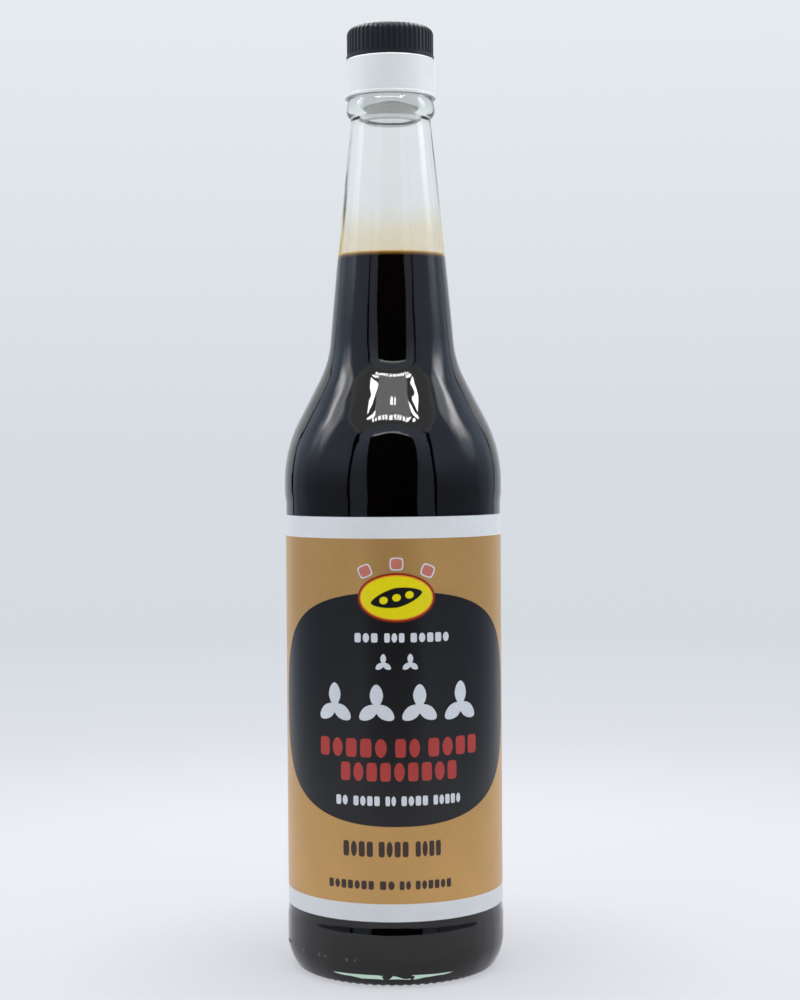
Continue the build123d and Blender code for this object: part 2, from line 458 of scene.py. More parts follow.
@dataclass(frozen=True)
class CollarPlastic(Finish):
    """White collar plastic, whose thin plug inside the neck is nearly clear."""

    collar_bottom: float
    plug_bottom: float
    name: str = "collar_plastic"
    colour: Colour = linear(208, 210, 209)
    # painted shadow: the darker band just above the plug's bottom rim
    shadow: Colour = linear(168, 165, 158)
    # inner_light and glow give the bore a painted glow
    inner_light: Colour = (1.0, 1.0, 0.98)
    plug_share: float = 0.12
    bore: float = 10.2 * MM
    glow: float = 0.1
    rim: float = 0.35 * MM
    bore_blend: float = 0.1 * MM
    collar_blend: float = 0.3 * MM
    grain_depth: float = 0.02 * MM

    def shade(self, shop: NodeShop) -> None:
        """Fills in the plastic, clearer below the collar, with a painted shadow band at the plug's
        rim and a painted glow inside the bore.

        Args:
            shop: The material's nodes.
        """
        radius, height = shop.round_axes()
        # painted glow inside the bore, though nothing there is a lamp
        inside = radius.ramp(self.bore - self.bore_blend, self.bore, self.glow, 0.0)
        cloud = shop.noise(90.0)
        blend_start = self.collar_bottom - self.collar_blend
        clear = height.ramp(blend_start, self.collar_bottom, 1.0, 0.0)
        # painted shadow band just above the plug's bottom rim, which is also made a little less
        # clear
        rim = self.plug_bottom + self.rim
        dark = height.ramp(rim, rim + self.rim, 1.0, 0.0)
        pale = shop.mix(cloud.ramp(0.35, 0.65), tuple(c * 0.95 for c in self.colour), self.colour)
        sockets = {
            "Base Color": shop.mix(dark, pale, self.shadow),
            "Roughness": cloud.ramp(0.3, 0.7, 0.34, 0.42),
            "Emission Color": shop.mix(inside, BLACK, self.inner_light),
            "Emission Strength": 1.0,
            "Subsurface Weight": 0.12,
            "Subsurface Radius": (0.002, 0.002, 0.0022),
            "Alpha": 1.0 - clear * (1.0 - self.plug_share) + dark * 0.3,
            "Normal": shop.bump(shop.noise(1800.0), self.grain_depth, 0.5),
        }
        shop.principled(sockets)


@dataclass(frozen=True)
class StudioSurface(Finish):
    """A studio floor that takes soft shadows and fades into the far background."""

    name: str = "studio_floor"
    near: Colour = linear(230, 231, 236)
    middle: Colour = linear(222, 226, 232)
    far: Colour = linear(213, 219, 225)
    horizon: Colour = linear(215, 220, 226)
    own_light: float = 0.72
    albedo: float = 0.75
    # foot, foot_shade_end and foot_shade set a painted contact shadow round the bottle's foot
    foot: float = 0.03
    foot_shade_end: float = 0.11
    foot_shade: float = 0.84
    middle_band: Point = (0.28, 0.5)
    far_band: Point = (0.5, 1.1)
    horizon_band: Point = (1.1, 3.5)
    shadow_band: Point = (0.25, 0.6)

    def shade(self, shop: NodeShop) -> None:
        """Fills in the floor: rings of colour, a painted contact shadow round the bottle's foot,
        and a matte share that takes the shadows.

        Args:
            shop: The material's nodes.
        """
        distance, _ = shop.round_axes()
        first = shop.mix(distance.ramp(*self.middle_band), self.near, self.middle)
        second = shop.mix(distance.ramp(*self.far_band), first, self.far)
        colour = shop.mix(distance.ramp(*self.horizon_band), second, self.horizon)
        grain = shop.noise(900.0).ramp(0.3, 0.7, 0.85, 1.0)
        # painted contact shadow: the floor's glow is dimmed near the bottle's foot
        painted_contact_shadow = distance.ramp(self.foot, self.foot_shade_end, self.foot_shade, 1.0)
        glow = shop.glow(colour, painted_contact_shadow)
        tone = (*(c * self.albedo for c in self.near), 1.0)
        matte = shop.node("ShaderNodeBsdfDiffuse", sockets={"Color": tone, "Roughness": grain})
        share = distance.ramp(*self.shadow_band, self.own_light, 1.0)
        sockets = {0: share, 1: matte.outputs[0], 2: glow}
        shop.output(shop.node("ShaderNodeMixShader", sockets=sockets).outputs[0])


@dataclass(frozen=True)
class LightPanel(Finish):
    """A lit cloth or lamp panel, brighter towards its top and a little uneven."""

    name: str
    low: float
    high: float
    bottom: float = 0.1
    top: float = 0.5
    power: float = 1.0
    uneven: float = 0.0
    colour: Colour = (1.0, 1.0, 1.0)

    def shade(self, shop: NodeShop) -> None:
        """Fills in the panel's glow.

        Args:
            shop: The material's nodes.
        """
        rise = shop.axes()[2].ramp(self.bottom, self.top) ** self.power
        folds = shop.noise(9.0).ramp(0.35, 0.65, 1.0 - self.uneven, 1.0)
        strength = rise * folds * (self.high - self.low) + self.low
        shop.output(shop.glow(self.colour, strength))


@dataclass(frozen=True)
class SideCloth(Finish):
    """A side wall of the light tent: dim and cool, with a bright spot high beside the bottle."""

    name: str = "side_cloth"
    low: float = 0.24
    rise: float = 0.36
    back_rise: float = 0.2
    spot: float = 7.0
    spot_y: float = 0.01
    spot_width: float = 0.115
    cool: Colour = (0.84, 1.0, 1.26)
    neutral: Colour = (1.0, 1.0, 1.05)

    def shade(self, shop: NodeShop) -> None:
        """Fills in the wall's glow: an even rise with a folded bright spot on it.

        Args:
            shop: The material's nodes.
        """
        _, y, z = shop.axes()
        across = (y - self.spot_y) / self.spot_width
        near = (1.0 - across * across).ramp(0.0, 1.0) ** 2.0
        up = z.ramp(0.2, 0.48, 0.0, 1.0) ** 2.0
        folds = shop.noise(11.0, 3.0, (1.0, 0.5)).ramp(0.38, 0.62, 0.3, 1.15)
        spot = near * up * folds
        backwards = y.ramp(0.05, 0.3, 0.0, self.back_rise)
        plain = z.ramp(0.14, 0.3) * self.rise + backwards + self.low
        colour = shop.mix(spot.ramp(0.0, 0.3), self.cool, self.neutral)
        shop.output(shop.glow(colour, plain + spot * self.spot))


# ---- Meshes ----


def dress(
    mesh: Mesh, name: str, material: bpy.types.Material, crease: float = 32.0
) -> Piece:
    """Makes a smooth-shaded object of a mesh.

    Args:
        mesh: The mesh.
        name: The object's name.
        material: Its finish.
        crease: Edges that turn by more than this many degrees stay sharp.

    Returns:
        The object, linked to the scene.
    """
    mesh.materials.append(material)
    for polygon in mesh.polygons:
        polygon.use_smooth = True
    mesh.set_sharp_from_angle(angle=math.radians(crease))
    piece = bpy.data.objects.new(name, mesh)
    bpy.context.scene.collection.objects.link(piece)
    return piece


def mesh_of(name: str, corners: list[Corner], faces: list[tuple[int, ...]]) -> Mesh:
    """Makes a mesh.

    Args:
        name: The mesh's name.
        corners: Its corners, in metres.
        faces: The corners' numbers, face by face.

    Returns:
        The mesh.
    """
    mesh = bpy.data.meshes.new(name)
    mesh.from_pydata(corners, [], faces)
    return mesh


def polar(radius: float, angle: float, height: float) -> Corner:
    """Gives a place in metres from radius and height in millimetres and an angle."""
    return radius * math.cos(angle) * MM, radius * math.sin(angle) * MM, height * MM


class Outline:
    """An outline of radius and height, in millimetres, drawn as straight runs and arcs."""

    LONGEST_STEP = 2.0

    def __init__(self, start: Point, heading: float) -> None:
        """Starts at a point; heading is in degrees, 0 outwards and 90 up."""
        self.points: list[Point] = [start]
        self.heading = heading

    @property
    def end(self) -> Point:
        """The last point drawn."""
        return self.points[-1]

    def line(self, end: Point, spacing: float = LONGEST_STEP) -> None:
        """Draws straight to a point, in short steps.

        Args:
            end: Where the line ends.
            spacing: Longest step.
        """
        (r0, z0), (r1, z1) = self.end, end
        steps = max(1, math.ceil(math.dist(self.end, end) / spacing))
        for i in range(1, steps + 1):
            t = i / steps
            self.points.append((r0 + (r1 - r0) * t, z0 + (z1 - z0) * t))

    def run(self, length: float) -> None:
        """Draws straight on along the heading.

        Args:
            length: How far.
        """
        angle = math.radians(self.heading)
        r, z = self.end
        self.line((r + length * math.cos(angle), z + length * math.sin(angle)))

    def arc(self, radius: float, turn: float, step: float = 3.0) -> None:
        """Draws an arc that leaves along the heading.

        Args:
            radius: The arc's radius.
            turn: Degrees, positive to the left.
            step: Longest step in degrees.
        """
        side = math.copysign(1.0, turn)
        start = math.radians(self.heading - 90 * side)
        r, z = self.end
        centre = (r - radius * math.cos(start), z - radius * math.sin(start))
        longest = math.ceil(radius * math.radians(abs(turn)) / self.LONGEST_STEP)
        steps = max(2, math.ceil(abs(turn) / step), longest)
        for i in range(1, steps + 1):
            angle = start + math.radians(turn) * i / steps
            self.points.append(
                (centre[0] + radius * math.cos(angle), centre[1] + radius * math.sin(angle))
            )
        self.heading += turn

    def arc_to(self, end: Point) -> None:
        """Draws the one arc that leaves along the heading and ends at a point.

        Args:
            end: The point.
        """
        chord = math.dist(self.end, end)
        direction = math.degrees(math.atan2(end[1] - self.end[1], end[0] - self.end[0]))
        turn = 2 * ((direction - self.heading + 180) % 360 - 180)
        self.arc(chord / (2 * math.sin(math.radians(abs(turn) / 2))), turn)

    def soft_step(self, end: Point, steps: int = 10) -> None:
        """Draws an S-shaped step between two upright stretches.

        Args:
            end: Where the second stretch starts.
            steps: Points along the step.
        """
        (r0, z0), (r1, z1) = self.end, end
        for i in range(1, steps + 1):
            t = i / steps
            ease = t * t * (3 - 2 * t)
            self.points.append((r0 + (r1 - r0) * ease, z0 + (z1 - z0) * t))


Shift = Callable[[int, float, float, float], Point]


def spin(
    name: str, outline: list[Point], segments: int, shift: Shift | None = None
) -> Mesh:
    """Turns an outline round the upright axis into a mesh.

    Args:
        name: The mesh's name.
        outline: Radius and height in millimetres; on the axis it closes to one point.
        segments: Steps round the axis.
        shift: Moves a point, given its row, radius, height and angle.

    Returns:
        The mesh, in metres.
    """
    on_axis = 1e-6
    corners: list[Corner] = []
    rings: list[list[int]] = []
    for row, (r, z) in enumerate(outline):
        first = len(corners)
        if r < on_axis:
            corners.append((0.0, 0.0, z * MM))
            rings.append([first] * segments)
            continue
        for i in range(segments):
            angle = 2 * math.pi * i / segments
            radius, height = shift(row, r, z, angle) if shift else (r, z)
            corners.append(polar(radius, angle, height))
        rings.append(list(range(first, first + segments)))
    faces = []
    for low, high in zip(rings, rings[1:]):
        for i in range(segments):
            j = (i + 1) % segments
            face = dict.fromkeys((low[i], low[j], high[j], high[i]))
            if len(face) > 2:
                faces.append(tuple(face))
    mesh = mesh_of(name, corners, faces)
    mesh.validate()
    return mesh


def strips(name: str, runs: list[list[list[Corner]]]) -> Mesh:
    """Joins sections of four corners into closed strips.

    Args:
        name: The mesh's name.
        runs: The sections of each strip, in order along it.

    Returns:
        The mesh.
    """
    corners: list[Corner] = []
    faces: list[tuple[int, ...]] = []
    for run in runs:
        first = len(corners)
        corners += [corner for section in run for corner in section]
        last = len(corners) - 4
        for section in range(first, last, 4):
            for k in range(4):
                a, b = section + k, section + (k + 1) % 4
                faces.append((a, a + 4, b + 4, b))
        faces.append((first, first + 1, first + 2, first + 3))
        faces.append((last + 3, last + 2, last + 1, last))
    return mesh_of(name, corners, faces)


# ---- Glass bottle ----


@dataclass
class GlassSizes:
    """The bottle's sizes, in millimetres and degrees."""

    body_radius: float = 35.2
    body_wall: float = 2.8
    foot_inset: float = 4.8
    foot_rounding: float = 2.4
    heel_radius: float = 15.0
    bearing_width: float = 3.4
    punt_depth: float = 3.4
    floor_thickness: float = 3.5
    cavity_corner_radius: float = 6.8
    heel_band_height: float = 6.2
    heel_step_height: float = 3.8
    panel_recess: float = 0.37
    panel_height: float = 130.0
    shoulder_step_height: float = 4.2
    shoulder_band_height: float = 3.0
    shoulder_radius: float = 43.4
    shoulder_slope: float = 27.5
    neck_blend_radius: float = 33.7
    neck_taper: float = 5.1
    neck_spread: float = 7.07
    neck_length: float = 71.8
    neck_top_radius: float = 12.95
    bore_radius: float = 10.1
    bead_radius: float = 14.3
    bead_upper_radius: float = 7.5
    bead_lower_radius: float = 3.2
    bead_fillet: float = 0.6
    finish_radius: float = 13.3
    lock_groove_depth: float = 0.5
    lock_groove_height: float = 4.2
    lock_groove_drop: float = 5.2
    lip_rounding: float = 0.8


@dataclass
class GlassBottle:
    """The glass: outer skin, inner wall, knurled foot and mould dots."""

    sizes: GlassSizes
    mouth: float
    segments: int = 432
    knurl_count: int = 72
    knurl_depth: float = 0.4
    knurl_inner: float = 28.2
    knurl_fade: float = 0.6
    knurl_top: float = 0.9
    dot_pairs: int = 4
    dot_pair_pitch: float = 17.7
    dot_spacing: float = 4.4
    first_pair_angle: float = 246.5
    dot_radius: float = 0.6
    dot_height: float = 0.35
    dot_drop: float = 1.0
    dot_sink: float = 0.05
    dot_segments: int = 32
    wave: float = 0.02
    wave_counts: tuple[int, int] = (5, 11)
    wave_lean: float = 0.01
    wave_share: float = 0.6
    wave_offset: float = 1.3
    wave_full_radius: float = 9.0
    heel_turn: float = field(init=False)
    heel_top: float = field(init=False)
    panel_bottom: float = field(init=False)
    shoulder_start: float = field(init=False)
    shoulder_run: float = field(init=False)
    neck_top: float = field(init=False)

    def __post_init__(self) -> None:
        """Works out the levels that several parts share."""
        s = self.sizes
        reach = s.heel_radius - s.foot_rounding
        rise = math.sqrt(reach**2 - (s.heel_radius - s.foot_inset) ** 2)
        self.heel_turn = math.degrees(math.asin(rise / reach))
        self.heel_top = s.foot_rounding + rise
        self.panel_bottom = self.heel_top + s.heel_band_height + s.heel_step_height
        steps = s.panel_height + s.shoulder_step_height + s.shoulder_band_height
        self.shoulder_start = self.panel_bottom + steps
        slope, taper = math.radians(s.shoulder_slope), math.radians(s.neck_taper)
        fall_in = s.body_radius - s.neck_top_radius - s.neck_spread
        fall_in -= s.shoulder_radius * (1 - math.cos(slope))
        fall_in -= s.neck_blend_radius * (math.cos(taper) - math.cos(slope))
        self.shoulder_run = fall_in / math.sin(slope)
        rise = s.shoulder_radius * math.sin(slope) + self.shoulder_run * math.cos(slope)
        rise += s.neck_blend_radius * (math.sin(slope) - math.sin(taper))
        self.neck_top = self.shoulder_start + rise + s.neck_length

    @property
    def panel_radius(self) -> float:
        """Radius of the recessed panel that the label lies on."""
        return self.sizes.body_radius - self.sizes.panel_recess

    def _shoulder(self, line: Outline, inset: float, top: Point) -> None:
        """Draws shoulder and neck.

        Args:
            line: The outline so far.
            inset: How far inside the outer skin it runs.
            top: Where the neck ends.
        """
        s = self.sizes
        line.heading = 90.0
        line.arc(s.shoulder_radius - inset, s.shoulder_slope)
        line.run(self.shoulder_run)
        line.arc(s.neck_blend_radius + inset, s.neck_taper - s.shoulder_slope)
        line.arc_to(top)

    def _heel(self, line: Outline) -> None:
        """Draws foot, heel, label panel and the two bands.

        Args:
            line: The outline so far.
        """
        s = self.sizes
        line.heading = 0.0
        line.arc(s.foot_rounding, 90 - self.heel_turn, step=7.0)
        line.arc(s.heel_radius, self.heel_turn, step=1.6)
        line.line((s.body_radius, self.heel_top + s.heel_band_height), spacing=0.6)
        line.soft_step((self.panel_radius, self.panel_bottom))
        line.line((self.panel_radius, self.panel_bottom + s.panel_height), spacing=6.0)
        line.soft_step((s.body_radius, self.shoulder_start - s.shoulder_band_height))
        line.line((s.body_radius, self.shoulder_start))

    def _finish(self, line: Outline) -> None:
        """Draws the bead, the lock groove and the rounded lip.

        Args:
            line: The outline so far.
        """
        s = self.sizes
        centre = s.bead_radius - s.bead_lower_radius
        reach = s.bead_lower_radius + s.bead_fillet
        rise = math.sqrt(reach**2 - (s.neck_top_radius + s.bead_fillet - centre) ** 2)
        turn = math.degrees(math.asin(rise / reach))
        line.heading = 90.0
        line.arc(s.bead_fillet, -turn, step=12.0)
        line.arc(s.bead_lower_radius, turn, step=5.0)
        upper = s.bead_upper_radius
        drop = s.finish_radius - s.bead_radius + upper
        line.arc_to((s.finish_radius, line.end[1] + math.sqrt(upper**2 - drop**2)))
        groove_top = self.mouth - s.lock_groove_drop
        groove_bottom = groove_top - s.lock_groove_height
        groove = s.finish_radius - s.lock_groove_depth
        for point in (
            (s.finish_radius, groove_bottom),
            (groove, groove_bottom),
            (groove, groove_top),
            (s.finish_radius, groove_top),
            (s.finish_radius, self.mouth - s.lip_rounding),
        ):
            line.line(point)
        line.heading = 90.0
        line.arc(s.lip_rounding, 90.0, step=15.0)
        line.line((s.bore_radius + s.lip_rounding, self.mouth))
        line.arc(s.lip_rounding, 90.0, step=15.0)

    def cavity(self, grow: float = 0.0) -> list[Point]:
        """Gives the inner wall's outline, from the floor's centre up to the neck's top.

        Args:
            grow: How far it is moved out into the glass.

        Returns:
            The outline, in millimetres.
        """
        s = self.sizes
        wall = s.body_wall - grow
        corner = s.cavity_corner_radius + grow
        radius = s.body_radius - wall
        punt = s.body_radius - s.foot_inset - s.bearing_width
        arch = (punt**2 + s.punt_depth**2) / (2 * s.punt_depth) + s.floor_thickness - grow
        turn = math.degrees(math.asin((radius - corner) / (arch + corner)))
        line = Outline((0.0, s.punt_depth + s.floor_thickness - grow), 0.0)
        line.arc(arch, -turn)
        line.arc(corner, 90.0 + turn, step=5.0)
        line.line((radius, self.shoulder_start), spacing=4.0)
        self._shoulder(line, wall, (s.bore_radius + grow, self.neck_top))
        return line.points

    def _relief(self, inner_start: int) -> Shift:
        """Gives the small relief of real glass: knurling and an uneven inner wall.

        Args:
            inner_start: The outline's first point on the inner wall.

        Returns:
            The function that moves a point.
        """
        coarse, fine = self.wave_counts

        def shift(row: int, r: float, z: float, angle: float) -> Point:
            """Moves one point of the glass.

            Args:
                row: Its number along the outline.
                r: Its radius.
                z: Its height.
                angle: Its place round the axis.

            Returns:
                The new radius and height.
            """
            if row >= inner_start:
                ripple = math.sin(coarse * angle + z * self.wave_lean)
                ripple += self.wave_share * math.sin(fine * angle + self.wave_offset)
                return r + self.wave * ripple * min(1.0, r / self.wave_full_radius), z
            if z < self.knurl_top and r > self.knurl_inner:
                wave = 0.5 + 0.5 * math.cos(self.knurl_count * angle)
                fade = min(1.0, (r - self.knurl_inner) / self.knurl_fade)
                fade *= 1 - z / self.knurl_top
                return r, z + self.knurl_depth * wave * fade
            return r, z

        return shift

    def dots(self) -> Piece:
        """Builds the mould dots on the heel.

        Returns:
            The dots, as one piece.
        """
        s = self.sizes
        sphere = (self.dot_radius**2 + self.dot_height**2) / (2 * self.dot_height)
        half_angle = math.degrees(math.asin(self.dot_radius / sphere))
        line = Outline((0.0, -self.dot_sink), 0.0)
        line.line((self.dot_radius, -self.dot_sink), spacing=self.dot_radius / 2)
        line.line((self.dot_radius, 0.0))
        line.heading = 180.0 - half_angle
        line.arc(sphere, half_angle, step=8.0)
        line.points[-1] = (0.0, self.dot_height)
        dome = spin("dome", line.points, self.dot_segments)
        skin = s.body_radius - s.heel_radius + math.sqrt(s.heel_radius**2 - self.dot_drop**2)
        tilt = math.asin(self.dot_drop / s.heel_radius)
        lay = Matrix.Rotation(math.pi / 2 + tilt, 4, "Y")
        lift = Matrix.Translation((skin * MM, 0.0, (self.heel_top - self.dot_drop) * MM))
        shape = bmesh.new()
        for dot in range(2 * self.dot_pairs):
            middle = self.first_pair_angle - dot // 2 * self.dot_pair_pitch
            angle = math.radians(middle + (dot % 2 - 0.5) * self.dot_spacing)
            copy = dome.copy()
            copy.transform(Matrix.Rotation(angle, 4, "Z") @ lift @ lay)
            shape.from_mesh(copy)
        mesh = bpy.data.meshes.new("mould_dots")
        shape.to_mesh(mesh)
        shape.free()
        piece = dress(mesh, "mould_dots", ClearGlass().material(), crease=60.0)
        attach(piece, ROOT)
        return piece

    def build(self) -> Piece:
        """Builds the glass as one closed shell.

        Returns:
            The bottle.
        """
        s = self.sizes
        foot = s.body_radius - s.foot_inset
        line = Outline((0.0, s.punt_depth), 0.0)
        line.arc_to((foot - s.bearing_width, 0.0))
        line.line((foot, 0.0), spacing=0.6)
        self._heel(line)
        self._shoulder(line, 0.0, (s.neck_top_radius, self.neck_top))
        self._finish(line)
        line.line((s.bore_radius, self.neck_top))
        inner_start = len(line.points)
        line.points += self.cavity()[-2::-1]
        mesh = spin("bottle_glass", line.points, self.segments, self._relief(inner_start))
        piece = dress(mesh, "bottle_glass", ClearGlass().material())
        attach(piece, ROOT)
        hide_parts("bottle")
        return piece


# ---- Sauce ----


@dataclass
class Sauce:
    """The sauce in the glass and the film that it leaves above its level."""

    bottle: GlassBottle
    level: float
    overlap: float = 0.16
    meniscus: float = 0.7
    meniscus_width: float = 3.2
    meniscus_steps: int = 8
    flat_share: float = 0.4
    film_height: float = 18.0
    film_inset: float = 0.08
    film_overlap: float = 0.2
    segments: int = 192

    @staticmethod
    def _wall_radius(points: list[Point], z: float) -> float:
        """Gives the radius of an upright outline at a height.

        Args:
            points: The outline.
            z: The height.

        Returns:
            The radius.
        """
        for (r0, z0), (r1, z1) in zip(points, points[1:]):
            if z0 <= z <= z1 and z1 > z0:
                return r0 + (r1 - r0) * (z - z0) / (z1 - z0)
        return points[-1][0]

    def body(self) -> Piece:
        """Builds the sauce, reaching just into the glass wall.

        Returns:
            The sauce.
        """
        wall = self.bottle.cavity(self.overlap)
        points = [p for p in wall if p[1] < self.level]
        edge = self._wall_radius(wall, self.level)
        points.append((edge, self.level))
        for i in range(1, self.meniscus_steps + 1):
            t = i / self.meniscus_steps
            radius = edge - self.meniscus_width * t
            points.append((radius, self.level - self.meniscus * t * (2 - t)))
        flat = self.level - self.meniscus
        points += [(edge * self.flat_share, flat), (0.0, flat)]
        finish = DarkSauce(level=self.level * MM, edge=edge * MM)
        mesh = spin("sauce_body", points, self.segments)
        piece = dress(mesh, "sauce_body", finish.material())
        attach(piece, ROOT)
        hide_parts("soy_sauce")
        return piece

    def film(self) -> Piece:
        """Builds the film as a thin skin on the inner wall above the level.

        Returns:
            The film.
        """
        top = self.level + self.film_height
        inner = self.bottle.cavity(self.film_inset)
        start = self.level - self.film_overlap
        points = [(self._wall_radius(inner, start), start)]
        points += [p for p in inner if start < p[1] < top]
        points.append((self._wall_radius(inner, top), top))
        finish = SauceFilm(bottom=self.level * MM, top=top * MM)
        mesh = spin("sauce_film", points, self.segments)
        piece = dress(mesh, "sauce_film", finish.material())
        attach(piece, ROOT)
        return piece


# ---- Label ----


@dataclass(frozen=True)
class Shape:
    """A rounded shape on the label: place round the front and height, half sizes, squareness."""

    across: float
    height: float
    half_width: float
    half_height: float
    power: float = 2.0
    tilt: float = 0.0

    def edge(self) -> list[Point]:
        """Gives points on the shape's edge, about its centre.

        Returns:
            The points, place round the front and height.
        """
        count = 144
        turn = math.radians(self.tilt)
        cos, sin = math.cos(turn), math.sin(turn)
        points = []
        for i in range(count):
            angle = 2 * math.pi * i / count
            c, s = math.cos(angle), math.sin(angle)
            u = self.half_width * math.copysign(abs(c) ** (2 / self.power), c)
            v = self.half_height * math.copysign(abs(s) ** (2 / self.power), s)
            points.append((u * cos - v * sin, u * sin + v * cos))
        return points

    def columns(self, pitch: float) -> list[tuple[float, float, float]]:
        """Cuts the shape into upright columns, closer together towards its two ends.

        Args:
            pitch: Widest step between columns.

        Returns:
            Place, lower edge and upper edge of each column, about the shape's centre.
        """
        fewest, end_share = 14, 0.9995
        edge = self.edge()
        reach = max(u for u, _ in edge)
        count = max(fewest, math.ceil(math.pi * reach / pitch))
        cuts = []
        for i in range(count + 1):
            u = -reach * end_share * math.cos(math.pi * i / count)
            hits = []
            for (u0, v0), (u1, v1) in zip(edge, edge[1:] + edge[:1]):
                if min(u0, u1) <= u <= max(u0, u1) and u0 != u1:
                    hits.append(v0 + (v1 - v0) * (u - u0) / (u1 - u0))
            if hits:
                cuts.append((u, min(hits), max(hits)))
        return cuts


def blocks(words: list[Point], height: float, half: float, pitch: float) -> list[Shape]:
    """Gives a row of plain blocks and ovals, as a stand-in for a line of print.

    Args:
        words: Start and end of each stretch of the row.
        height: Height of the row's middle.
        half: Half the height of a block.
        pitch: Wanted distance from block to block.

    Returns:
        The blocks; every third is an oval.
    """
    width_share, block, oval = 0.38, 5.0, 2.0
    shapes = []
    for start, end in words:
        count = max(1, round((end - start) / pitch))
        step = (end - start) / count
        for i in range(count):
            middle = start + step * (i + 0.5)
            power = oval if i % 3 == 1 else block
            shapes.append(Shape(middle, height, step * width_share, half, power))
    return shapes


@dataclass
class Print:
    """One ink of the label: shapes wrapped on the paper as thin flat layers."""

    name: str
    ink: Ink
    shapes: list[Shape]
    layer: int


